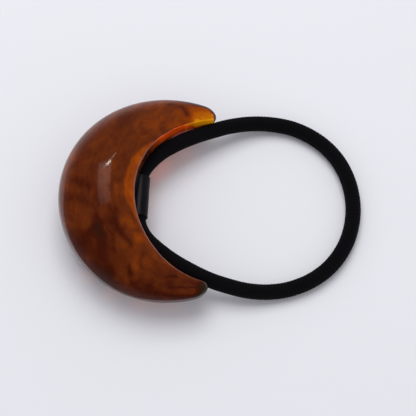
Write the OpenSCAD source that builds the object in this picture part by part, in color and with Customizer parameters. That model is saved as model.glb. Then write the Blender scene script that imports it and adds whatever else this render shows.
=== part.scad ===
/* [Cuff outline] */
// Width of the cuff, from its outer face to the ends of the horns
cuff_w = 45.6; // [44:0.2:47]
// Length of the cuff over both horns, where it is broadest
cuff_l = 64.2; // [60:0.2:68]
// Thickness of the cuff at its middle, from the outer face to the inner wall
mid_w = 23; // [22:0.2:24]
// Depth of the oval that the outer face follows, from front to back
outer_d = 65.6; // [62:0.2:70]
// Radius of the round inner wall that lies against the hair
wall_r = 26.4; // [26:0.1:27]
// Turn from the middle of the wall to where a horn starts to round off, in degrees
horn_turn = 76.8; // [75:0.2:78]
// Turn that the rounded end of a horn takes, in degrees
horn_round = 5.4; // [4:0.1:6]

/* [Cuff section] */
// Height of the cuff at its middle
cuff_h = 20; // [19:0.5:22]
// Thickness of a horn near its end
horn_h = 2.4; // [2:0.1:3]
// How long the cuff keeps its full height before it thins, where more is longer
horn_taper = 2.5; // [2:0.1:3]
// Share of the width that lies outside the top of the dome
ridge_share = 0.59; // [0.56:0.01:0.62]
// Fullness of the domed section, where 2 is an ellipse and more is squarer
fullness = 2.75; // [2.4:0.05:3.2]

/* [Elastic] */
// Thickness of the round elastic cord
elastic_d = 4.5; // [4:0.1:4.6]
// Clearance between the cord and its channel in the wall
bed_clearance = 0.2; // [0.1:0.05:0.3]
// Gap between the two ends of the cord inside the sleeve
end_gap = 0.3; // [0.2:0.1:0.6]

/* [Joining sleeve] */
// Outside diameter of the sleeve
sleeve_d = 5.6; // [5.4:0.1:6]
// Length of the sleeve
sleeve_l = 13; // [12:0.5:14]
// Bevel around each mouth of the sleeve
sleeve_bevel = 0.3; // [0.1:0.05:0.3]
// Clearance between the cord and the sleeve around it
cord_clearance = 0.1; // [0.1:0.05:0.15]
// Clearance between the sleeve and its pocket in the wall
pocket_clearance = 0.15; // [0.1:0.05:0.2]
// How deep the pocket goes into the wall
pocket_depth = 1.9; // [1.6:0.1:2.2]

/* [Hidden] */

// The cuff lies flat with its horns toward +X, and its inner wall is round about an upright axis
mid_z = cuff_h / 2;
wall_front_x = mid_w - cuff_w / 2;
wall_x = wall_front_x + wall_r;
outer_x = (outer_d - cuff_w) / 2;
sleeve_x = wall_front_x - pocket_depth + pocket_clearance + sleeve_d / 2;
cord_z = elastic_d / 2;

// How finely the cuff's domed skin is divided
body_steps = 48;
end_steps = 6;
section_steps = 36;

// Sides of the cord, and the rings that its smooth curve gets from one point of its route to the next
cord_sides = 12;
cord_steps = 2;

// Distance from the wall's axis to the outer face, at the turn b around that axis
function outer_reach(b) =
    let (
        back = wall_x - outer_x,
        ahead = back * cos(b) / pow(outer_d / 2, 2),
        curve = pow(cos(b) / (outer_d / 2), 2) + pow(sin(b) / (cuff_l / 2), 2),
        inside = 1 - pow(back / (outer_d / 2), 2)
    )
    (ahead + sqrt(ahead * ahead + curve * inside)) / curve;

// Half the height of the dome, which stays full at the middle and thins along the horns
function half_height(b) = horn_h / 2 + (cuff_h - horn_h) / 2 * (1 - pow(sin(abs(b)), horn_taper));

// Share that is left of a section as a horn rounds off, and 1 before its rounded end
function end_share(b) =
    abs(b) <= horn_turn ? 1 : sqrt(max(0, 1 - pow((abs(b) - horn_turn) / horn_round, 2)));

function signed_power(v, p) = sign(v) * pow(abs(v), p);

// Distance from the wall's axis to the middle of a section, below the top of the dome
function middle_reach(b) = wall_r + (1 - ridge_share) * (outer_reach(b) - wall_r);

// One domed section of the cuff, in the upright plane through the wall's axis at the turn b
function section(b) =
    let (
        half_w = (outer_reach(b) - middle_reach(b)) * end_share(b),
        half_h = half_height(b) * end_share(b)
    )
    [for (i = [0:section_steps - 1])
        let (
            turn = i * 360 / section_steps,
            reach = middle_reach(b) + half_w * signed_power(cos(turn), 2 / fullness)
        )
        [
            wall_x - reach * cos(b),
            reach * sin(b),
            mid_z + half_h * signed_power(sin(turn), 2 / fullness)
        ]];

// The last point of the horn on one side
function horn_point(side) =
    let (b = side * (horn_turn + horn_round))
    [wall_x - middle_reach(b) * cos(b), middle_reach(b) * sin(b), mid_z];

// Turns of the sections, from one horn to the other, closer together in the rounded ends
end_turns = [for (i = [1:end_steps]) horn_turn + horn_round * sin(i * 90 / (end_steps + 1))];
section_turns = concat(
    [for (i = [end_steps - 1:-1:0]) -end_turns[i]],
    [for (i = [0:body_steps]) horn_turn * (2 * i / body_steps - 1)],
    end_turns
);

// Route of the cord's middle: from inside the sleeve along the wall, down past one horn, round the loop
// on the table, and up past the other horn into the sleeve again. Columns: x, y, z
cord_route = [
    [sleeve_x, end_gap / 2, mid_z],
    [sleeve_x, 3, mid_z],
    [sleeve_x, 6.6, mid_z],
    [2.1, 9.2, mid_z],
    [4.2, 12.2, mid_z],
    [7.4, 15.4, 9.9],
    [11.6, 18.4, 9.4],
    [16.4, 21.4, 8.3],
    [21.6, 24.2, 6.8],
    [27, 26.7, 5.4],
    [32.8, 28.5, 4],
    [38.8, 29.3, 2.8],
    [45, 28.7, cord_z],
    [51, 26.4, cord_z],
    [56.4, 22.7, cord_z],
    [60.8, 17.6, cord_z],
    [63.8, 11.2, cord_z],
    [65.2, 4.2, cord_z],
    [64.9, -2.8, cord_z],
    [62.9, -9.7, cord_z],
    [59, -16, cord_z],
    [53.6, -20.8, cord_z],
    [47.2, -23.9, cord_z],
    [40.6, -25.4, 2.8],
    [34.4, -25.7, 4],
    [28.6, -25, 5.4],
    [23, -23.8, 6.8],
    [17.4, -21.8, 8.3],
    [12, -19.2, 9.4],
    [7.6, -16.2, 9.9],
    [4, -13, mid_z],
    [1.9, -9.6, mid_z],
    [sleeve_x, -6.6, mid_z],
    [sleeve_x, -3, mid_z],
    [sleeve_x, -end_gap / 2, mid_z]
];

// The route's points that the channel in the wall follows, on either side of the sleeve
channel_first = 1;
channel_last = 7;

function part_of(list, first, last) = [for (i = [first:last]) list[i]];

// A smooth curve from q to r, whose neighbours are p and s, at the share t of the way
function between(p, q, r, s, t) =
    0.5 * (2 * q + (r - p) * t + (2 * p - 5 * q + 4 * r - s) * t * t + (3 * q - p - 3 * r + s) * t * t * t);

// Middles of all the rings along a route, none of them lower than a cord on the table
function ring_middles(route) =
    let (
        last = len(route) - 1,
        middles = concat(
            [for (k = [0:last - 1]) for (i = [0:cord_steps - 1])
                between(route[max(k - 1, 0)], route[k], route[k + 1], route[min(k + 2, last)], i / cord_steps)],
            [route[last]]
        )
    )
    [for (p = middles) [p[0], p[1], max(p[2], cord_z)]];

function unit(v) = v / norm(v);

// A ring of radius r around the point c, square to the direction d
function tube_ring(c, d, r) =
    let (
        side = unit(cross(d, [0, 0, 1])),
        up = cross(side, d)
    )
    [for (i = [0:cord_sides - 1])
        let (turn = i * 360 / cord_sides)
        c + r * (side * sin(turn) + up * cos(turn))];

// Closes a stack of like rings, with one point before the first ring and one after the last
module closed_rings(first, rings, last) {
    n = len(rings[0]);
    count = len(rings);
    end = n * count + 1;
    polyhedron(
        points = concat([first], [for (ring = rings) for (p = ring) p], [last]),
        faces = concat(
            [for (i = [0:n - 1]) [0, 1 + i, 1 + (i + 1) % n]],
            [for (k = [0:count - 2]) for (i = [0:n - 1]) for (half = [0, 1])
                let (
                    a = 1 + k * n + i,
                    b = 1 + k * n + (i + 1) % n
                )
                half == 0 ? [a, a + n, b] : [b, a + n, b + n]],
            [for (i = [0:n - 1]) [end, end - n + (i + 1) % n, end - n + i]]
        ),
        convexity = 6
    );
}

// A round tube of radius r along a route
module tube(route, r) {
    middles = ring_middles(route);
    last = len(middles) - 1;
    rings = [for (i = [0:last])
        tube_ring(middles[i], unit(middles[min(i + 1, last)] - middles[max(i - 1, 0)]), r)];
    closed_rings(middles[0], rings, middles[last]);
}

// The domed croissant before anything is cut from it
module croissant() {
    closed_rings(horn_point(-1), [for (b = section_turns) section(b)], horn_point(1));
}

// The upright round wall between the horns
module wall_cut() {
    translate([wall_x, 0, -1])
        cylinder(h = cuff_h + 2, r = wall_r, $fn = 180);
}

// The straight pocket at the middle of the wall that the sleeve is glued into
module pocket_cut() {
    length = sleeve_l + 2 * pocket_clearance;
    translate([sleeve_x, length / 2, mid_z])
        rotate([90, 0, 0])
            cylinder(h = length, d = sleeve_d + 2 * pocket_clearance, $fn = 64);
}

// The groove that the cord beds in on each side of the sleeve, fading out along the horns
module channel_cuts() {
    count = len(cord_route);
    r = elastic_d / 2 + bed_clearance;
    tube(part_of(cord_route, channel_first, channel_last), r);
    tube(part_of(cord_route, count - 1 - channel_last, count - 1 - channel_first), r);
}

// Cast resin cuff, a solid crescent with a domed section
module cuff() {
    color("#6b2f16")
        difference() {
            croissant();
            wall_cut();
            pocket_cut();
            channel_cuts();
        }
}

// Knitted elastic cord, one loop whose ends meet inside the sleeve
module elastic() {
    color("#161417")
        tube(cord_route, elastic_d / 2);
}

// Half of the sleeve's wall, to be turned around its own axis
module sleeve_outline() {
    bore_r = elastic_d / 2 + cord_clearance;
    outer_r = sleeve_d / 2;
    half_l = sleeve_l / 2;
    polygon([
        [bore_r, -half_l],
        [outer_r - sleeve_bevel, -half_l],
        [outer_r, sleeve_bevel - half_l],
        [outer_r, half_l - sleeve_bevel],
        [outer_r - sleeve_bevel, half_l],
        [bore_r, half_l]
    ]);
}

// Plastic tube that joins the two ends of the cord and sits in the wall's pocket
module sleeve() {
    color("#2b282b")
        translate([sleeve_x, 0, mid_z])
            rotate([90, 0, 0])
                rotate_extrude($fn = 64)
                    sleeve_outline();
}

cuff();
elastic();
sleeve();
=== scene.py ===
from math import acos, atan2, cos, exp, hypot, pi, radians, sin, sqrt

import bmesh
import bpy
from mathutils import Matrix, Vector, noise


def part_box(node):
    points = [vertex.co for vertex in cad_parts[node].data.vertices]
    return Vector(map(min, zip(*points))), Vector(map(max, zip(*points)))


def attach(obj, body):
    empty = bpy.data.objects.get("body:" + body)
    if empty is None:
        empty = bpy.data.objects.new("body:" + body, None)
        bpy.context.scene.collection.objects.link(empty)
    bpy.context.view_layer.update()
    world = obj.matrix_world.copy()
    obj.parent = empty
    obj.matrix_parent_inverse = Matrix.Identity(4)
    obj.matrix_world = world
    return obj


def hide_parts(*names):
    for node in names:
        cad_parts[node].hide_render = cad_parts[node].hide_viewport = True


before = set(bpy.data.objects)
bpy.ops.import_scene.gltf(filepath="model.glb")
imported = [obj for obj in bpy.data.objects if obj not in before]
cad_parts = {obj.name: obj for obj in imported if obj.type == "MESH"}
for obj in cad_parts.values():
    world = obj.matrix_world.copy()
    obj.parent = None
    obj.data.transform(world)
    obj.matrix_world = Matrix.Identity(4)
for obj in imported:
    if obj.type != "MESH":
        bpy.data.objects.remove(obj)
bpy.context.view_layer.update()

# The camera
# It looks down on the tie as it lies on its surface, 22.5 degrees from straight above, so that the round
# inner wall shows at the far horn and the outer face at the near one. The tie lies turned a little.
view_distance = 0.45
view_tilt = radians(22.5)
view_turn = radians(2.617)
picture_width = 0.12606
aim_right = 0.02158
aim_up = 0.00066

camera_data = bpy.data.cameras.new("camera")
camera_data.angle = 2 * atan2(picture_width / 2, view_distance)
camera = bpy.data.objects.new("camera", camera_data)
camera.rotation_euler = (view_tilt, 0, view_turn)
camera.location = camera.rotation_euler.to_matrix() @ Vector((aim_right, aim_up, view_distance))
bpy.context.scene.collection.objects.link(camera)
bpy.context.scene.camera = camera
bpy.context.scene.view_settings.view_transform = "Standard"

# The elastic
# A round rubber core in a fine knitted sleeve of black polyester, as on any ponytail elastic. It is one
# loop: both ends go into the plastic sleeve at the middle of the cuff's wall, where they are glued.
elastic_r = 0.00225
rib_count = 22
rib_depth = 0.00005
sides_per_rib = 4
course_length = 0.0009
stitch_depth = 0.00008
stitch_slant = 5
steps_between = 26
table_clearance = rib_depth + stitch_depth / 2
elastic_route = [
    (0.00125, 0.00015, 0.01), (0.00125, 0.003, 0.01), (0.00125, 0.0066, 0.01),
    (0.0021, 0.0092, 0.01), (0.0042, 0.0122, 0.01), (0.0074, 0.0154, 0.0099),
    (0.0116, 0.0184, 0.0094), (0.0164, 0.0214, 0.0083), (0.0216, 0.0242, 0.0068),
    (0.027, 0.0267, 0.0054), (0.0328, 0.0285, 0.004), (0.0388, 0.0293, 0.0028),
    (0.045, 0.0287, 0.00225), (0.051, 0.0264, 0.00225), (0.0564, 0.0227, 0.00225),
    (0.0608, 0.0176, 0.00225), (0.0638, 0.0112, 0.00225), (0.0652, 0.0042, 0.00225),
    (0.0649, -0.0028, 0.00225), (0.0629, -0.0097, 0.00225), (0.059, -0.016, 0.00225),
    (0.0536, -0.0208, 0.00225), (0.0472, -0.0239, 0.00225), (0.0406, -0.0254, 0.0028),
    (0.0344, -0.0257, 0.004), (0.0286, -0.025, 0.0054), (0.023, -0.0238, 0.0068),
    (0.0174, -0.0218, 0.0083), (0.012, -0.0192, 0.0094), (0.0076, -0.0162, 0.0099),
    (0.004, -0.013, 0.01), (0.0019, -0.0096, 0.01), (0.00125, -0.0066, 0.01),
    (0.00125, -0.003, 0.01), (0.00125, -0.00015, 0.01),
]


def smooth_line(points, steps):
    """The points of a smooth curve through the given ones, none lower than a cord on the table."""
    line = []
    lowest = elastic_r + table_clearance
    points = [Vector(p) for p in points]
    last = len(points) - 1
    for k in range(last):
        p, q, r, s = (points[i] for i in (max(k - 1, 0), k, k + 1, min(k + 2, last)))
        for i in range(steps):
            t = i / steps
            line.append(0.5 * (2 * q + (r - p) * t + (2 * p - 5 * q + 4 * r - s) * t**2
                               + (3 * q - p - 3 * r + s) * t**3))
    line.append(points[-1])
    return [Vector((p.x, p.y, max(p.z, lowest))) for p in line]


def add_curve(name, points, closed):
    """A curve object of one straight-sided spline."""
    data = bpy.data.curves.new(name, "CURVE")
    data.dimensions = "3D"
    spline = data.splines.new("POLY")
    spline.points.add(len(points) - 1)
    for point, place in zip(spline.points, points):
        point.co = (*place, 1)
    spline.use_cyclic_u = closed
    made = bpy.data.objects.new(name, data)
    bpy.context.scene.collection.objects.link(made)
    return made


elastic_line = smooth_line(elastic_route, steps_between)
elastic_length = sum((b - a).length for a, b in zip(elastic_line, elastic_line[1:]))

profile_points = []
profile_count = rib_count * sides_per_rib
for i in range(profile_count):
    turn = 2 * pi * i / profile_count
    reach = elastic_r + rib_depth * (0.5 + 0.5 * cos(turn * rib_count))
    profile_points.append((reach * cos(turn), reach * sin(turn), 0))
profile = add_curve("elastic_profile", profile_points, True)
guide = add_curve("elastic_guide", elastic_line, False)
guide.data.bevel_mode = "OBJECT"
guide.data.bevel_object = profile
guide.data.use_fill_caps = True
elastic_mesh = bpy.data.meshes.new_from_object(guide.evaluated_get(bpy.context.evaluated_depsgraph_get()))
elastic_mesh.name = "knitted_elastic"

# Each rib is a column of V stitches, so the surface rises and falls in slanted waves that meet on the rib
bm = bmesh.new()
bm.from_mesh(elastic_mesh)
bmesh.ops.remove_doubles(bm, verts=bm.verts, dist=1e-7)
bmesh.ops.recalc_face_normals(bm, faces=bm.faces)
bm.normal_update()
along_and_around = bm.loops.layers.uv[0]
places = {loop.vert: loop[along_and_around].uv for face in bm.faces for loop in face.loops}
for vert, (along, around) in places.items():
    from_crown = abs(around * rib_count - round(around * rib_count))
    wave = sin(stitch_slant * from_crown + 2 * pi * along * elastic_length / course_length)
    vert.co += vert.normal * stitch_depth / 2 * wave
bm.to_mesh(elastic_mesh)
bm.free()
elastic_mesh.shade_smooth()
elastic = bpy.data.objects.new("knitted_elastic", elastic_mesh)
bpy.context.scene.collection.objects.link(elastic)
bpy.data.objects.remove(guide)
bpy.data.objects.remove(profile)


def linear(hex_colour):
    """The linear colour of an sRGB hex value."""
    parts = [int(hex_colour[i:i + 2], 16) / 255 for i in (1, 3, 5)]
    return (*[p / 12.92 if p <= 0.04045 else ((p + 0.055) / 1.055) ** 2.4 for p in parts], 1)


def add_node(owner, kind, inputs=None, **settings):
    """Adds a node to a material or a world. A setting is a property of the node or the value of the socket
    of that name, and inputs gives, by a socket's name or number, its value or the socket that feeds it."""
    node = owner.node_tree.nodes.new(kind)
    for name, value in settings.items():
        if hasattr(node, name):
            setattr(node, name, value)
        else:
            node.inputs[name.replace("_", " ")].default_value = value
    for name, source in (inputs or {}).items():
        if isinstance(source, bpy.types.NodeSocket):
            owner.node_tree.links.new(source, node.inputs[name])
        else:
            node.inputs[name].default_value = source
    return node


def new_material(name):
    material = bpy.data.materials.new(name)
    material.use_nodes = True
    material.node_tree.nodes.clear()
    return material


def finish_material(material, shader):
    add_node(material, "ShaderNodeOutputMaterial", {"Surface": shader.outputs[0]})


# Knitted polyester: matt and near black, with lengthwise ribs of small V stitches. A painted highlight makes
# their raised loops a faint grey, and painted shade makes the hollows darker. The courses are drawn at 0.9
# mm, half as high again as the real ones, so that they show.
knit = new_material("knitted_polyester")
knit_uv = add_node(knit, "ShaderNodeUVMap")
knit_split = add_node(knit, "ShaderNodeSeparateXYZ", {"Vector": knit_uv.outputs[0]})
ribs = add_node(knit, "ShaderNodeMath", {0: knit_split.outputs["Y"], 1: rib_count}, operation="MULTIPLY")
off_rib = add_node(knit, "ShaderNodeMath", {0: ribs.outputs[0], 1: 0.5}, operation="PINGPONG")
courses = add_node(knit, "ShaderNodeMath",
                   {0: knit_split.outputs["X"], 1: 2 * pi * elastic_length / course_length},
                   operation="MULTIPLY")
slanted = add_node(knit, "ShaderNodeMath", {0: off_rib.outputs[0], 1: stitch_slant, 2: courses.outputs[0]},
                   operation="MULTIPLY_ADD")
loops = add_node(knit, "ShaderNodeMath", {0: slanted.outputs[0]}, operation="SINE")
crowns = add_node(knit, "ShaderNodeMath", {0: off_rib.outputs[0], 1: 2, 2: loops.outputs[0]},
                  operation="MULTIPLY_ADD")
# Painted highlight on the raised loops and painted shade between them, both taken from the stitch height
stitch_height_and_highlight = add_node(knit, "ShaderNodeMapRange", {"Value": crowns.outputs[0], "From Min": -1, "From Max": 2})
knit_mix = add_node(knit, "ShaderNodeMix",
                    {"Factor": stitch_height_and_highlight.outputs[0], 6: linear("#060507"), 7: linear("#0e0c0f")},
                    data_type="RGBA")
knit_place = add_node(knit, "ShaderNodeTexCoord")
fuzz = add_node(knit, "ShaderNodeTexNoise", {"Vector": knit_place.outputs["Object"]}, Scale=2600, Detail=3)
knit_relief = add_node(knit, "ShaderNodeMath", {0: stitch_height_and_highlight.outputs[0], 1: fuzz.outputs["Fac"]},
                       operation="ADD")
knit_bump = add_node(knit, "ShaderNodeBump", {"Height": knit_relief.outputs[0]}, Strength=0.4,
                     Distance=0.0001)
knit_bsdf = add_node(knit, "ShaderNodeBsdfPrincipled",
                     {"Base Color": knit_mix.outputs[2], "Normal": knit_bump.outputs[0]},
                     Roughness=0.95, Specular_IOR_Level=0.12, Sheen_Weight=0.02, Sheen_Roughness=0.5)
finish_material(knit, knit_bsdf)
elastic_mesh.materials.clear()
elastic_mesh.materials.append(knit)

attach(elastic, "root")
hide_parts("elastic")

# The cuff
# Cast polyester resin in a tortoiseshell mix, one solid crescent with a domed section. The mould gives the
# dome, and the round inner wall is ground and polished afterwards, which leaves its rim crisp. A groove and
# a pocket in the wall take the elastic and its sleeve. It is buffed all over to a high gloss.
cuff_low, cuff_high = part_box("cuff")
cuff_h = cuff_high[2] - cuff_low[2]
mid_z = (cuff_low[2] + cuff_high[2]) / 2
cuff_w = 0.0456
cuff_l = 0.0642
mid_w = 0.023
outer_d = 0.0656
wall_r = 0.0264
wall_x = mid_w - cuff_w / 2 + wall_r
outer_x = (outer_d - cuff_w) / 2
horn_turn = radians(76.8)
horn_round = radians(5.4)
horn_h = 0.0024
horn_taper = 2.5
horn_sag = 0.0015
sag_from = radians(38)
sag_over = radians(22)
ridge_share = 0.59
fullness = 2.75
rim_round = 0.0011
groove_r = elastic_r + 0.0002
pocket_r = 0.00295
pocket_x = elastic_route[0][0]
pocket_turn = radians(14.2)

dome_points = 43
wall_side_points = 4
groove_points = 7
section_points = dome_points + 2 * wall_side_points + 2 + groove_points
pocket_rings = 13
horn_rings = 28
end_rings = 7


def clamp(value, low=0, high=1):
    return max(low, min(high, value))


def ramp(value, start, length):
    """Goes from 0 to 1 as a value goes from a start over a length."""
    return clamp((value - start) / length)


def outer_reach(turn):
    """Distance from the wall's upright axis to the outer face at a turn around that axis."""
    back = wall_x - outer_x
    ahead = back * cos(turn) / (outer_d / 2) ** 2
    curve = (cos(turn) / (outer_d / 2)) ** 2 + (sin(turn) / (cuff_l / 2)) ** 2
    return (ahead + sqrt(ahead**2 + curve * (1 - (back / (outer_d / 2)) ** 2))) / curve


def half_height(turn):
    return horn_h / 2 + (cuff_h - horn_h) / 2 * (1 - sin(abs(turn)) ** horn_taper)


def end_share(turn):
    """What is left of a section as a horn rounds off, and 1 before its rounded end."""
    past = (abs(turn) - horn_turn) / horn_round
    return 1 if past <= 0 else sqrt(max(0, 1 - past**2))


def cord_near(turn):
    """Reach and height of the elastic's middle where it passes a turn around the wall's axis."""
    nearest = min(cord_turns, key=lambda spot: abs(spot[0] - turn))
    return nearest[1], nearest[2] - mid_z


# Turn, reach and height of the elastic's middle on its way along the wall, in finer steps than its mesh has
cord_turns = [(atan2(p.y, wall_x - p.x), hypot(wall_x - p.x, p.y), p.z)
              for p in smooth_line(elastic_route, 60) if p.x < wall_x]


def groove(turn, height):
    """How far out from the axis the groove or the pocket reaches at a height above the middle."""
    reach, rise = cord_near(turn)
    out = 0
    if abs(height - rise) < groove_r:
        out = reach + sqrt(groove_r**2 - (height - rise) ** 2)
    if abs(turn) < pocket_turn and abs(height) < pocket_r:
        out = max(out, (wall_x - pocket_x + sqrt(pocket_r**2 - height**2)) / cos(turn))
    return out


def groove_half_width(turn):
    """Half the width that the groove or the pocket has where it opens in the wall."""
    reach, rise = cord_near(turn)
    inside = groove_r**2 - (wall_r - reach) ** 2
    if abs(turn) < pocket_turn:
        inside = pocket_r**2 - (wall_r * cos(turn) - (wall_x - pocket_x)) ** 2
    return sqrt(max(0, inside))


def cuff_section(turn):
    """One closed section, as reach and height: over the dome from the lower rim, then down the wall."""
    share = end_share(turn)
    middle = wall_r + (1 - ridge_share) * (outer_reach(turn) - wall_r)
    half_w = (outer_reach(turn) - middle) * share
    half_h = half_height(turn) * share
    under = 1 + horn_sag * share / half_h * ramp(abs(turn), sag_from, sag_over)
    lean = min(0.9999, (middle - wall_r) / half_w)
    rim_turn = min(radians(165), atan2((1 - lean**fullness) ** (1 / fullness), -lean))

    def dome(angle):
        bulge = (abs(cos(angle)) ** fullness + abs(sin(angle)) ** fullness) ** (-1 / fullness)
        height = half_h * bulge * sin(angle)
        return middle + half_w * bulge * cos(angle), height if height > 0 else height * under

    beside = min(0.2, rim_round / max(half_h, half_w / 2))
    angles = [-rim_turn, beside - rim_turn]
    for i in range(dome_points - 4):
        angles.append((2 * (i + 1) / (dome_points - 3) - 1) * (rim_turn - beside))
    angles += [rim_turn - beside, rim_turn]
    section = [dome(angle) for angle in angles]

    top = section[-1][1]
    centre = clamp(cord_near(turn)[1], -0.35 * top, 0.35 * top)
    half = clamp(groove_half_width(turn), 0.3 * top, 0.6 * top)
    soft = min(0.0008, 0.2 * top)

    def wall_side(upper, lower):
        first, last = upper - soft, lower + soft
        return [first + (last - first) * i / (wall_side_points - 1) for i in range(wall_side_points)]

    across_groove = [centre + half * cos(pi * i / (groove_points + 1)) for i in range(groove_points + 2)]
    for height in wall_side(top, centre + half) + across_groove + wall_side(centre - half, section[0][1]):
        even = height if height > 0 else height / under
        flat = 1 - (abs(even) / half_h) ** fullness
        inner = middle - half_w * max(0, flat) ** (1 / fullness)
        section.append((max(wall_r, inner, groove(turn, height)), height))
    return section


# On the wall two rings lie close together at each end of the pocket. On the dome the rings are evenly spaced,
# because a reflection shows every change of their spacing.
beyond = pocket_turn + radians(0.35)
pocket_turns = [(2 * i / (pocket_rings - 1) - 1) * pocket_turn * 0.995 for i in range(pocket_rings)]
past_pocket = [beyond + (horn_turn - beyond) * i / horn_rings for i in range(horn_rings + 1)]
past_horn = [horn_turn + horn_round * sin(pi / 2 * (i + 1) / (end_rings + 1)) for i in range(end_rings)]
wall_turns = [-turn for turn in reversed(past_pocket + past_horn)] + pocket_turns + past_pocket + past_horn
even_rings = pocket_rings + 2 * len(past_pocket)
even_turns = [(2 * i / (even_rings - 1) - 1) * horn_turn for i in range(even_rings)]
dome_turns = [-turn for turn in reversed(past_horn)] + even_turns + past_horn

bm = bmesh.new()
bmesh.ops.create_uvsphere(bm, u_segments=section_points, v_segments=len(wall_turns) + 1, radius=1)
wall_sections = [cuff_section(turn) for turn in wall_turns]
dome_sections = [cuff_section(turn) for turn in dome_turns]
horn_end = horn_turn + horn_round
horn_reach = wall_r + (1 - ridge_share) * (outer_reach(horn_end) - wall_r)
for vert in bm.verts:
    ring = round(acos(clamp(vert.co.z, -1, 1)) * (len(wall_turns) + 1) / pi) - 1
    seat = round(atan2(vert.co.y, vert.co.x) * section_points / (2 * pi)) % section_points
    if 0 <= ring < len(wall_turns):
        on_dome = 1 < seat < dome_points - 2
        turn = (dome_turns if on_dome else wall_turns)[ring]
        reach, height = (dome_sections if on_dome else wall_sections)[ring][seat]
    else:
        turn = -horn_end if ring < 0 else horn_end
        reach, height = horn_reach, 0
    vert.co = (wall_x - reach * cos(turn), reach * sin(turn), mid_z + height)
bmesh.ops.recalc_face_normals(bm, faces=bm.faces)
rough_mesh = bpy.data.meshes.new("rough_cuff")
bm.to_mesh(rough_mesh)
bm.free()
rough = bpy.data.objects.new("rough_cuff", rough_mesh)
bpy.context.scene.collection.objects.link(rough)
fine = rough.modifiers.new("fine", "SUBSURF")
fine.levels = fine.render_levels = 2
cuff_mesh = bpy.data.meshes.new_from_object(rough.evaluated_get(bpy.context.evaluated_depsgraph_get()))
cuff_mesh.name = "resin_cuff"
cuff_mesh.shade_smooth()
bpy.data.objects.remove(rough)
cuff = bpy.data.objects.new("resin_cuff", cuff_mesh)
bpy.context.scene.collection.objects.link(cuff)

# Wisps of clear amber and of smoke in the resin. Columns: turn in degrees and share across the cuff where a
# wisp starts, turn and share where it ends, its half width in mm, and how clear it is, below 0 for smoke.
wisps = [
    (44, 0.25, 60, 0.4, 2.4, 0.14),
    (40, 0.7, 50, 0.75, 1.2, 0.08),
    (50, 0.1, 62, 0.12, 2.2, 0.22),
    (64, 0.62, 65, 0.3, 0.7, -0.24),
    (56, 0.72, 63, 0.55, 0.7, -0.1),
    (30, 0.6, 44, 0.7, 1.4, -0.15),
    (-32, 0.14, -25, 0.14, 2.4, 0.2),
    (-40, 0.3, -52, 0.2, 3.0, 0.12),
    (-46, 0.5, -52, 0.55, 2.0, 0.12),
    (-11, 0.37, -34, 0.34, 0.9, -0.38),
    (-17, 0.5, -38, 0.92, 1.8, -0.35),
    (-22, 0.62, -25, 0.86, 1.6, -0.25),
    (-26, 0.45, -33, 0.6, 0.8, -0.2),
    (-43, 0.58, -49, 0.86, 0.7, -0.32),
    (-40, 0.2, -48, 0.46, 0.7, -0.28),
    (-57, 0.35, -62, 0.22, 0.8, -0.28),
    (-52, 0.75, -78, 0.95, 1.6, -0.3),
    (-64, 0.6, -76, 0.45, 0.7, -0.28),
    (-62, 0.5, -84, 0.5, 7.0, -0.24),
    (4, 0.62, -30, 0.62, 3.5, -0.14),
    # This row is painted shade: it darkens the near outer edge of the lower horn, where the dome mirrors the
    # table in its shadow
    (-20, 1.0, -75, 1.0, 3.0, -0.3),
    (2, 0.8, -3, 0.56, 0.9, -0.2),
    (-5, 0.9, -7, 0.72, 1.0, -0.22),
    (16, 0.86, 12, 0.66, 1.0, -0.15),
]
# How many metres a radian of turn and the whole width of the cuff count as, where wisps are measured
wisp_arm = 0.035
wisp_breadth = 0.02
# Noise shifts the wisps, by up to 1.8 mm in slow waves and 0.7 mm in quick ones
slow_drift, slow_waves = 0.0018, 140
quick_drift, quick_waves = 0.0007, 420


def wisps_at(spot):
    """What the wisps add at a spot, given in metres along and across the cuff."""
    total = 0
    for turn_a, share_a, turn_b, share_b, half_width, amount in wisps:
        a = Vector((radians(turn_a) * wisp_arm, share_a * wisp_breadth))
        b = Vector((radians(turn_b) * wisp_arm, share_b * wisp_breadth))
        part = clamp((spot - a).dot(b - a) / (b - a).length_squared)
        total += amount * exp(-((spot - a.lerp(b, part)).length / (half_width * 0.001)) ** 2)
    return total


# The wall takes painted shade and painted glow. It is painted dark where the cuff is thick, and the groove in
# it darker still. Where the horns are thin it is painted lighter and red, as light crossing them would make
# it, and amber from 62 degrees on, partly the resin's own amber and partly painted glow, a little further
# along at the wall's lower edge. A seam in the resin is painted bright there, as a painted glint.
wall_skin = 0.0001
groove_zone, groove_shade = 0.004, -0.7
thin_from, thin_over = radians(29), radians(14)
amber_from, amber_over = radians(62), radians(6)
amber_slant = radians(1500)
seam_turn, seam_width = radians(61.5), radians(1.3)
rim_share = (1 - ((1 - ridge_share) / ridge_share) ** fullness) ** (1 / fullness)
rim_glow = 0.0015

# On the dome a crescent beside the wall is painted lighter, a painted glow of light come through the wall.
# The upper horn ends in clear amber, partly the resin's own and partly painted glow of light through the thin
# horn, with a painted dark edge along its outer side and its end, and the lower horn ends in painted shade.
crescent_turn, crescent_half = radians(5), radians(33)
crescent_width, crescent_edge, crescent_glow = 0.0034, 0.0007, 0.4
tip_from, tip_over = radians(64.5), radians(4)
tip_on_wall, tip_on_dome, tip_fade = 1, 0.82, 0.8
dark_edge_side, dark_edge_lead, dark_edge_over = 0.45, radians(2), radians(8)
dark_edge_strength = 1.3
lower_from, lower_over, lower_tip_shade = radians(-75), radians(5), 0.9


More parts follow.
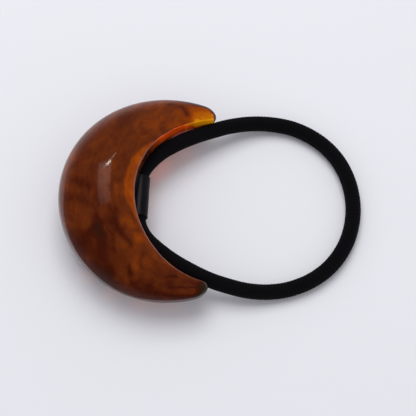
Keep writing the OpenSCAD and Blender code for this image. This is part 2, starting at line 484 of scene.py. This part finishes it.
def wall_tone(turn, place, thin):
    """The wall's tone with its painted shade, painted glow and painted glint, and how much painted red glow
    it takes.
    """
    level = place.z - mid_z
    amber = ramp(abs(turn) + amber_slant * (level - 0.001), amber_from, amber_over)
    below = clamp((rim_share * half_height(turn) - abs(level)) / rim_glow)
    seam = exp(-((turn - seam_turn) / seam_width) ** 2)
    # Painted shade below the rim where the cuff is thick, painted glow where the horn is thin, a painted
    # glint on the seam
    tone = 0.1 - 0.45 * below * (1 - thin) + 0.32 * thin + 0.25 * amber + 0.6 * seam
    # Painted red glow of light through the horn, full on the upper horn and half on the lower
    red = thin * (1 - amber) * (0.7 + 0.8 * noise.noise(place * 250)) * (1 if turn > 0 else 0.5)
    return tone + 0.4 * noise.noise(place * 300), red


def tip_tone(tone, turn, place, share, on_wall, wobble):
    """Makes the end of the upper horn clear amber, partly the resin's own and partly painted glow, with
    painted shade along its outer edge and end.
    """
    tip = ramp(turn, tip_from + wobble, tip_over)
    tone = tone * (1 - tip) + tip * ((tip_on_wall if on_wall else tip_on_dome) - tip_fade * share)
    if share > dark_edge_side:
        # Painted shade: a dark edge along the outer side of the tip, near its widest line
        painted_dark_edge = ramp(turn, tip_from + wobble - dark_edge_lead, dark_edge_over)
        tone -= dark_edge_strength * painted_dark_edge * clamp((0.95 - abs(place.z - mid_z) / half_height(turn)) / 0.3)
    # Painted shade at the very end of the horn
    return tone - dark_edge_strength * ramp(turn, horn_end - radians(2), radians(1.2))


# Noise vectors start from the clock unless they are seeded, and the marbling has to be the same in every run
noise.seed_set(7)

# How clear the resin is, from -1 for smoke to 1 for amber, which also carries painted glow and painted shade;
# how much of its colour is a painted red glow of light through a horn; and a place in metres whose axes
# follow the cuff, for streaks that run along it
for name, kind in (("clear", "FLOAT"), ("painted_glow", "FLOAT"), ("grain", "FLOAT_VECTOR")):
    cuff_mesh.attributes.new(name, kind, "POINT")
clear, painted_glow, grain = (cuff_mesh.attributes[name] for name in ("clear", "painted_glow", "grain"))
for vert in cuff_mesh.vertices:
    turn = atan2(vert.co.y, wall_x - vert.co.x)
    reach = hypot(vert.co.y, wall_x - vert.co.x)
    behind_wall = reach - wall_r
    on_wall = behind_wall < wall_skin
    drift = noise.noise_vector(vert.co * slow_waves) * slow_drift
    drift += noise.noise_vector(vert.co * quick_waves) * quick_drift
    across = behind_wall / (outer_reach(turn) - wall_r) * wisp_breadth + drift.y
    thin = ramp(abs(turn), thin_from, thin_over)
    red = 0
    if on_wall:
        tone, red = wall_tone(turn, vert.co, thin)
    # Painted shade in the groove, which the elastic shadows, fading out where the horn is thin
    elif thin < 1 and abs(vert.co.z - mid_z) < groove_zone and behind_wall < groove_zone:
        tone = groove_shade + thin
    else:
        tone = wisps_at(Vector((turn * wisp_arm + drift.x, across)))
        # Painted glow in a crescent beside the wall
        width = crescent_width * max(0, 1 - ((turn - crescent_turn) / crescent_half) ** 2)
        tone += crescent_glow * clamp((width - behind_wall - 0.3 * drift.y) / crescent_edge)
    if turn > amber_from:
        tone = tip_tone(tone, turn, vert.co, min(1, across / wisp_breadth), on_wall, 0.6 * drift.x / wisp_arm)
    elif turn < lower_from:
        # Painted shade on the end of the lower horn
        tone -= lower_tip_shade * clamp((lower_from - turn) / lower_over)
    clear.data[vert.index].value = clamp(tone, -1, 1)
    painted_glow.data[vert.index].value = clamp(red)
    grain.data[vert.index].vector = (behind_wall, turn * wisp_arm, vert.co.z)

# Cast polyester, cloudy with pigment: light goes a few millimetres in and comes back orange, so thin horns
# and the rim glow, and that glow is also painted into the base colour, with painted shade on the thick wall.
# The polished skin mirrors the lights over deep brown. The smoke lies in streaks about 6 mm long with
# hair-thin darker veins between them.
resin = new_material("cast_polyester_resin")
clear_node = add_node(resin, "ShaderNodeAttribute", attribute_name="clear")
painted_glow_node = add_node(resin, "ShaderNodeAttribute", attribute_name="painted_glow")
grain_node = add_node(resin, "ShaderNodeAttribute", attribute_name="grain")
place_node = add_node(resin, "ShaderNodeTexCoord")
stroke_map = add_node(resin, "ShaderNodeMapping", {"Vector": grain_node.outputs["Vector"]},
                      Scale=(230, 100, 140))
strokes = add_node(resin, "ShaderNodeTexNoise", {"Vector": stroke_map.outputs[0]},
                   Scale=1, Detail=5, Roughness=0.55, Distortion=1.3)
clouds = add_node(resin, "ShaderNodeTexNoise", {"Vector": place_node.outputs["Object"]},
                  Scale=110, Detail=3, Roughness=0.5, Distortion=1.6)
hair_map = add_node(resin, "ShaderNodeMapping", {"Vector": grain_node.outputs["Vector"]},
                    Scale=(1000, 130, 400))
hairs = add_node(resin, "ShaderNodeTexNoise", {"Vector": hair_map.outputs[0]},
                 Scale=1, Detail=3, Roughness=0.6, Distortion=0.8)
veins = add_node(resin, "ShaderNodeTexNoise", {"Vector": place_node.outputs["Object"]},
                 Scale=170, Detail=3, Roughness=0.5, Distortion=2.4)
on_vein = add_node(resin, "ShaderNodeMath", {0: veins.outputs["Fac"], 1: 0.47, 2: 0.012}, operation="COMPARE")
combed = add_node(resin, "ShaderNodeMath", {0: hairs.outputs["Fac"], 1: 0.35, 2: strokes.outputs["Fac"]},
                  operation="MULTIPLY_ADD")
mixed = add_node(resin, "ShaderNodeMath", {0: combed.outputs[0], 1: clouds.outputs["Fac"]}, operation="ADD")
spread = add_node(resin, "ShaderNodeMath", {0: mixed.outputs[0], 1: 0.34, 2: 0.1}, operation="MULTIPLY_ADD")
tone_node = add_node(resin, "ShaderNodeMath", {0: clear_node.outputs["Fac"], 1: 0.5, 2: spread.outputs[0]},
                     operation="MULTIPLY_ADD")
veined = add_node(resin, "ShaderNodeMath", {0: on_vein.outputs[0], 1: -0.045, 2: tone_node.outputs[0]},
                  operation="MULTIPLY_ADD")
resin_ramp = add_node(resin, "ShaderNodeValToRGB", {"Fac": veined.outputs[0]})
resin_tones = [(0.0, "#2c2012"), (0.14, "#34180c"), (0.3, "#43160a"), (0.5, "#622a0f"), (0.7, "#903f08"),
               (0.85, "#b05c09"), (1.0, "#ffb20c")]
while len(resin_ramp.color_ramp.elements) < len(resin_tones):
    resin_ramp.color_ramp.elements.new(0.5)
for stop, (position, colour) in zip(resin_ramp.color_ramp.elements, resin_tones):
    stop.position = position
    stop.color = linear(colour)
# Painted glow: the red of light through a horn, mixed into the base colour
resin_mix = add_node(resin, "ShaderNodeMix",
                     {"Factor": painted_glow_node.outputs["Fac"], 6: resin_ramp.outputs["Color"],
                      7: linear("#ff5e0a")}, data_type="RGBA")
resin_bsdf = add_node(resin, "ShaderNodeBsdfPrincipled", {"Base Color": resin_mix.outputs[2]},
                      Roughness=0.05, IOR=1.55, Specular_IOR_Level=0.42, Subsurface_Weight=0.5,
                      Subsurface_Radius=(1, 0.3, 0.08), Subsurface_Scale=0.005)
finish_material(resin, resin_bsdf)
cuff_mesh.materials.clear()
cuff_mesh.materials.append(resin)
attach(cuff, "root")
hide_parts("cuff")

# The sleeve
# A short piece of black nylon tube, pushed over the two ends of the elastic and glued. It sits in the pocket
# in the wall, and the mouths are rounded over so that they don't cut the cord.
sleeve_bore_r = elastic_r + 0.0001
sleeve_r = 0.0028
sleeve_l = 0.013
mouth_round = 0.00018
half_l = sleeve_l / 2

bm = bmesh.new()
outline = ((sleeve_bore_r, -half_l), (sleeve_r, -half_l), (sleeve_r, half_l), (sleeve_bore_r, half_l))
corners = [bm.verts.new((pocket_x + r, y, mid_z)) for r, y in outline]
sides = [bm.edges.new((corners[i - 1], corners[i])) for i in range(4)]
bmesh.ops.spin(bm, geom=corners + sides, cent=(pocket_x, 0, mid_z), axis=(0, 1, 0), angle=2 * pi, steps=72,
               use_merge=True)
bmesh.ops.recalc_face_normals(bm, faces=bm.faces)
mouths = [edge for edge in bm.edges if edge.is_manifold and edge.calc_face_angle() > radians(60)]
bmesh.ops.bevel(bm, geom=mouths, offset=mouth_round, offset_type="OFFSET", affect="EDGES", segments=4,
                profile=0.5, material=-1, clamp_overlap=True)
sleeve_mesh = bpy.data.meshes.new("nylon_sleeve")
bm.to_mesh(sleeve_mesh)
bm.free()
sleeve_mesh.shade_smooth()
sleeve = bpy.data.objects.new("nylon_sleeve", sleeve_mesh)
bpy.context.scene.collection.objects.link(sleeve)

# Moulded nylon: black, with a satin skin as fine as the mould's, which spreads a light into a soft grey
# stripe. The grain is drawn at 0.3 mm, coarser than the real one, so that it shows.
nylon = new_material("moulded_nylon")
nylon_place = add_node(nylon, "ShaderNodeTexCoord")
nylon_grain = add_node(nylon, "ShaderNodeTexNoise", {"Vector": nylon_place.outputs["Object"]},
                       Scale=3000, Detail=2)
nylon_bump = add_node(nylon, "ShaderNodeBump", {"Height": nylon_grain.outputs["Fac"]},
                      Strength=0.15, Distance=0.00005)
nylon_rough = add_node(nylon, "ShaderNodeMapRange",
                       {"Value": nylon_grain.outputs["Fac"], "To Min": 0.3, "To Max": 0.45})
nylon_bsdf = add_node(nylon, "ShaderNodeBsdfPrincipled",
                      {"Normal": nylon_bump.outputs[0], "Roughness": nylon_rough.outputs[0]},
                      Base_Color=linear("#121114"), IOR=1.53, Specular_IOR_Level=0.06)
finish_material(nylon, nylon_bsdf)
sleeve_mesh.materials.append(nylon)
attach(sleeve, "root")
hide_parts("sleeve")

# The floor and the light
# The tie lies on a sheet of white paper in a bright room. A large soft light from the far left makes the
# shadows, and narrow ones that only mirrors see make the reflections on the dome.
floor_size = 6.0
floor_mesh = bpy.data.meshes.new("floor")
bm = bmesh.new()
bmesh.ops.create_grid(bm, x_segments=1, y_segments=1, size=floor_size / 2)
bm.to_mesh(floor_mesh)
bm.free()
floor = bpy.data.objects.new("floor", floor_mesh)
bpy.context.scene.collection.objects.link(floor)
paper = new_material("white_paper")
paper_bsdf = add_node(paper, "ShaderNodeBsdfPrincipled", Base_Color=linear("#e6e6eb"), Roughness=0.9)
finish_material(paper, paper_bsdf)
floor_mesh.materials.append(paper)


def add_softbox(name, aim, azimuth, elevation, distance, size, radiance, roll=0, colour=(1, 1, 1),
                mirrored=True, lights=False):
    """A rectangular light that faces a point. Its angles are in degrees, with the azimuth clockwise from the
    far side of the picture. Mirrors see it where it is mirrored, and the rest where it lights."""
    data = bpy.data.lights.new(name, "AREA")
    data.shape = "RECTANGLE"
    data.size, data.size_y = size
    data.energy = pi * size[0] * size[1] * radiance
    data.color = colour
    box = bpy.data.objects.new(name, data)
    flat, height = distance * cos(radians(elevation)), distance * sin(radians(elevation))
    away = Vector((flat * sin(radians(azimuth)), flat * cos(radians(azimuth)), height))
    box.location = Vector(aim) + away
    facing = away.to_track_quat("Z", "Y").to_matrix().to_4x4()
    box.rotation_euler = (facing @ Matrix.Rotation(radians(roll), 4, "Z")).to_euler()
    box.visible_glossy = mirrored
    box.visible_diffuse = lights
    bpy.context.scene.collection.objects.link(box)
    return box


add_softbox("key", (0.02, 0, 0), -12, 66, 0.9, (0.62, 0.62), 3.75, mirrored=False, lights=True)

# The pale patch on the ridge of the dome, in three layers so that it fades, and the bright streak at its end
ridge = (-0.0088, 0.0045, 0.02)
add_softbox("panel", ridge, -10, 66.5, 0.8, (0.085, 0.19), 0.3)
add_softbox("panel_middle", ridge, -10, 65.5, 0.79, (0.085, 0.16), 0.15)
add_softbox("panel_top", ridge, -10, 63.5, 0.78, (0.085, 0.1), 0.25)
add_softbox("streak", ridge, -5, 59, 0.8, (0.004, 0.125), 6, roll=-40, colour=(1, 0.86, 0.72))
add_softbox("streak_core", ridge, -6.1, 60.2, 0.79, (0.005, 0.038), 27, roll=-40, colour=(1, 0.89, 0.7))

# A light that only the sleeve takes, for the broad soft stripe along its side
sleeve_middle = (pocket_x, 0, mid_z)
stripe = add_softbox("stripe", sleeve_middle, -49.5, 53.9, 0.3, (0.3, 0.49), 8.5, roll=29.6)
stripe_takers = bpy.data.collections.new("stripe_takers")
stripe_takers.objects.link(sleeve)
stripe.light_linking.receiver_collection = stripe_takers

# A dark card that lies in front of the tie, out of the camera's sight. It only shows in the polished resin,
# where it stands in for the table's shade as a painted shade in the reflection, and keeps the near edge of
# the dome from turning grey.
card_mesh = bpy.data.meshes.new("shade_card")
bm = bmesh.new()
bmesh.ops.create_grid(bm, x_segments=1, y_segments=1, size=0.6)
bmesh.ops.translate(bm, verts=bm.verts, vec=(-0.3, -0.631, 0.0002))
bmesh.ops.rotate(bm, verts=bm.verts, cent=(0, 0, 0), matrix=Matrix.Rotation(radians(-22), 3, "Z"))
bm.to_mesh(card_mesh)
bm.free()
card = bpy.data.objects.new("shade_card", card_mesh)
bpy.context.scene.collection.objects.link(card)
card.visible_camera = card.visible_diffuse = card.visible_shadow = False
board = new_material("grey_board")
board_bsdf = add_node(board, "ShaderNodeBsdfPrincipled", Base_Color=linear("#707074"), Roughness=0.9)
finish_material(board, board_bsdf)
card_mesh.materials.append(board)

# Light that has come through the resin, which warms the table close to the cuff. Columns: x, y, z and size in
# mm, and radiance.
glows = [(4.8, 11.6, 2.8, 5, 0.4), (7.6, 15.4, 3, 5, 0.4), (13, 20, 3.5, 6, 0.25), (2.6, 4, 3, 7, 0.15),
         (2.8, -3, 3, 7, 0.08), (11, -28.6, 4.5, 8, 0.16), (3, -29.5, 3, 6, 0.16), (-6, -27, 2, 5, 0.16),
         (-13, -22, 2, 5, 0.12)]
for x, y, z, size, radiance in glows:
    data = bpy.data.lights.new("glow", "AREA")
    data.shape = "DISK"
    data.size = size / 1000
    data.color = (1, 0.24, 0.1)
    data.energy = pi * (pi * data.size**2 / 4) * radiance
    glow = bpy.data.objects.new("glow", data)
    glow.location = (x / 1000, y / 1000, z / 1000)
    glow.visible_camera = glow.visible_glossy = False
    bpy.context.scene.collection.objects.link(glow)

# The room: an even fill, and in polished faces the pale wall behind the table, brightest low and far.
# Columns: elevation in degrees and radiance.
wall_tones = [(0, 0.9), (10, 0.72), (20, 0.3), (30, 0.12), (45, 0.04)]
world = bpy.data.worlds.new("studio")
world.use_nodes = True
world.node_tree.nodes.clear()
sky_place = add_node(world, "ShaderNodeTexCoord")
sky_split = add_node(world, "ShaderNodeSeparateXYZ", {0: sky_place.outputs["Generated"]})
sky_ramp = add_node(world, "ShaderNodeValToRGB", {"Fac": sky_split.outputs["Z"]})
while len(sky_ramp.color_ramp.elements) < len(wall_tones):
    sky_ramp.color_ramp.elements.new(0.5)
for stop, (elevation, radiance) in zip(sky_ramp.color_ramp.elements, wall_tones):
    stop.position = sin(radians(elevation))
    stop.color = (radiance, radiance, radiance * 1.04, 1)
far_side = (sin(radians(20)), cos(radians(20)), 0)
toward = add_node(world, "ShaderNodeVectorMath", {0: sky_place.outputs["Generated"], 1: far_side},
                  operation="DOT_PRODUCT")
side_tones = add_node(world, "ShaderNodeMapRange",
                      {"Value": toward.outputs["Value"], "From Min": -0.25, "From Max": 0.9, "To Min": 0.1},
                      interpolation_type="SMOOTHSTEP")
mirrored_wall = add_node(world, "ShaderNodeBackground",
                         {"Color": sky_ramp.outputs["Color"], "Strength": side_tones.outputs["Result"]})
fill = add_node(world, "ShaderNodeBackground", Color=(0.96, 0.96, 1, 1), Strength=0.62)
ray_kind = add_node(world, "ShaderNodeLightPath")
sky_mix = add_node(world, "ShaderNodeMixShader",
                   {"Fac": ray_kind.outputs["Is Glossy Ray"], 1: fill.outputs[0],
                    2: mirrored_wall.outputs[0]})
add_node(world, "ShaderNodeOutputWorld", {"Surface": sky_mix.outputs[0]})
bpy.context.scene.world = world
